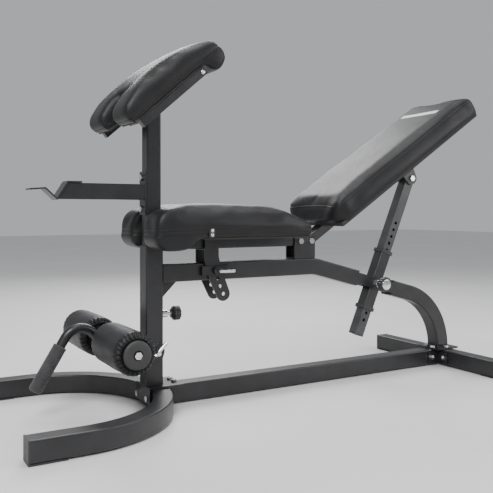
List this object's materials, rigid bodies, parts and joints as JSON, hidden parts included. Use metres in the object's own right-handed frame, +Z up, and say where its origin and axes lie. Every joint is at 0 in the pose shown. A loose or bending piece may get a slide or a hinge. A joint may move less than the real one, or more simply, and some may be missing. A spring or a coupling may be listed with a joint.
{
  "type": "adjustable weight bench",
  "caption": "Adjustable weight bench with reclining backrest on a pinned strut, tilting seat, preacher pad, bar hook and leg lever with foam rollers.",
  "frame": {"origin": "on the floor under the axis of the upright post, in the bench's middle plane", "axes": "+X from the leg lever to the rear foot, +Y to the left of someone who sits and looks at the preacher pad's opposite end, +Z up"},
  "size_m": [1.5269, 0.61, 0.9874],
  "materials": {
    "frame_paint": "satin",
    "strut_steel": "satin",
    "vinyl": "satin",
    "board": "matte",
    "chrome": "polished",
    "plastic": "matte",
    "knob": "gloss",
    "grip": "matte"
  },
  "bodies": {
    "frame": {"front_stabilizer": "frame_paint", "floor_beam": "frame_paint", "rear_stabilizer": "frame_paint", "base_bracket": "frame_paint", "corner_brackets": "frame_paint", "post": "frame_paint", "post_gusset": "frame_paint", "seat_rail": "frame_paint", "rear_leg": "frame_paint", "strut_yoke": "frame_paint", "hinge_bracket": "frame_paint", "seat_pin_keeper": "frame_paint", "base_bolts": "chrome", "rear_bolts": "chrome", "hinge_bolts": "chrome", "strut_trunnion": "chrome", "strut_pin_housing": "chrome", "post_pin_housing": "chrome", "lever_pivot_pin": "chrome", "front_feet": "plastic", "rear_feet": "plastic", "post_foot": "plastic", "post_bush": "plastic"},
    "upper_post_slide": {"upper_post": "frame_paint", "bar_arm": "frame_paint", "arm_bolts": "chrome", "bar_hook": "frame_paint", "preacher_plate": "frame_paint", "preacher_frame": "frame_paint", "preacher_board": "board", "preacher_pad": "vinyl"},
    "seat": {"seat_frame": "frame_paint", "seat_adjuster": "frame_paint", "seat_board": "board", "seat_pad": "vinyl"},
    "backrest": {"backrest_tube": "frame_paint", "strut_hanger": "frame_paint", "hanger_bolts": "chrome", "back_board": "board", "back_pad": "vinyl"},
    "sleeve_swivel": {"sleeve": "frame_paint", "sleeve_collars": "plastic"},
    "strut_tube": {"strut": "strut_steel", "strut_top_pin": "chrome", "strut_end_cap": "plastic"},
    "strut_pull_pin": {"strut_pin": "chrome", "strut_knob": "knob"},
    "seat_pull_pin": {"seat_pin": "chrome"},
    "post_pull_pin": {"post_pin": "chrome", "post_knob": "knob"},
    "leg_lever": {"lever_arm": "frame_paint", "roller_axle": "chrome", "axle_nuts": "chrome", "curl_bar": "frame_paint", "bar_grip": "grip"},
    "roller_left": {"foam_roller_left": "vinyl", "roller_core_left": "plastic"},
    "roller_right": {"foam_roller_right": "vinyl", "roller_core_right": "plastic"}
  },
  "joints": [
    {"name": "upper_post_height", "type": "slide", "parent": "frame", "child": "upper_post_slide", "axis": [0, 0, 1], "range_m": [0, 0.06]},
    {"name": "seat_tilt", "type": "hinge", "parent": "frame", "child": "seat", "pos_m": [0.477, 0, 0.441], "axis": [0, 1, 0], "range_deg": [0, 13.8]},
    {"name": "backrest_tilt", "type": "hinge", "parent": "frame", "child": "backrest", "pos_m": [0.517, 0, 0.441], "axis": [0, -1, 0], "range_deg": [-33, 27]},
    {"name": "sleeve_turn", "type": "hinge", "parent": "frame", "child": "sleeve_swivel", "pos_m": [0.784, 0, 0.29528], "axis": [0, -1, 0], "range_deg": [-33, 27.2]},
    {"name": "strut_slide", "type": "slide", "parent": "sleeve_swivel", "child": "strut_tube", "axis": [0.3997, 0, 0.9166], "range_m": [-0.1702, 0.1396]},
    {"name": "strut_pin_pull", "type": "slide", "parent": "frame", "child": "strut_pull_pin", "axis": [0, -1, 0], "range_m": [0, 0.012], "stiffness_N_per_m": 400, "springref_m": -0.01},
    {"name": "seat_pin_pull", "type": "slide", "parent": "frame", "child": "seat_pull_pin", "axis": [0, -1, 0], "range_m": [0, 0.02]},
    {"name": "post_pin_pull", "type": "slide", "parent": "frame", "child": "post_pull_pin", "axis": [1, 0, 0], "range_m": [0, 0.012], "stiffness_N_per_m": 400, "springref_m": -0.01},
    {"name": "leg_lever_lift", "type": "hinge", "parent": "frame", "child": "leg_lever", "pos_m": [0, 0, 0.15], "axis": [0, 1, 0], "range_deg": [0, 38]},
    {"name": "left_roller_turn", "type": "hinge", "parent": "leg_lever", "child": "roller_left", "pos_m": [-0.131, 0, 0.192], "axis": [0, 1, 0], "continuous": true},
    {"name": "right_roller_turn", "type": "hinge", "parent": "leg_lever", "child": "roller_right", "pos_m": [-0.131, 0, 0.192], "axis": [0, 1, 0], "continuous": true}
  ],
  "couplings": [
    {"joint": "sleeve_turn", "follows": "backrest_tilt", "ratio": 0.97},
    {"joint": "strut_slide", "follows": "backrest_tilt", "m_per_rad": 0.292}
  ]
}
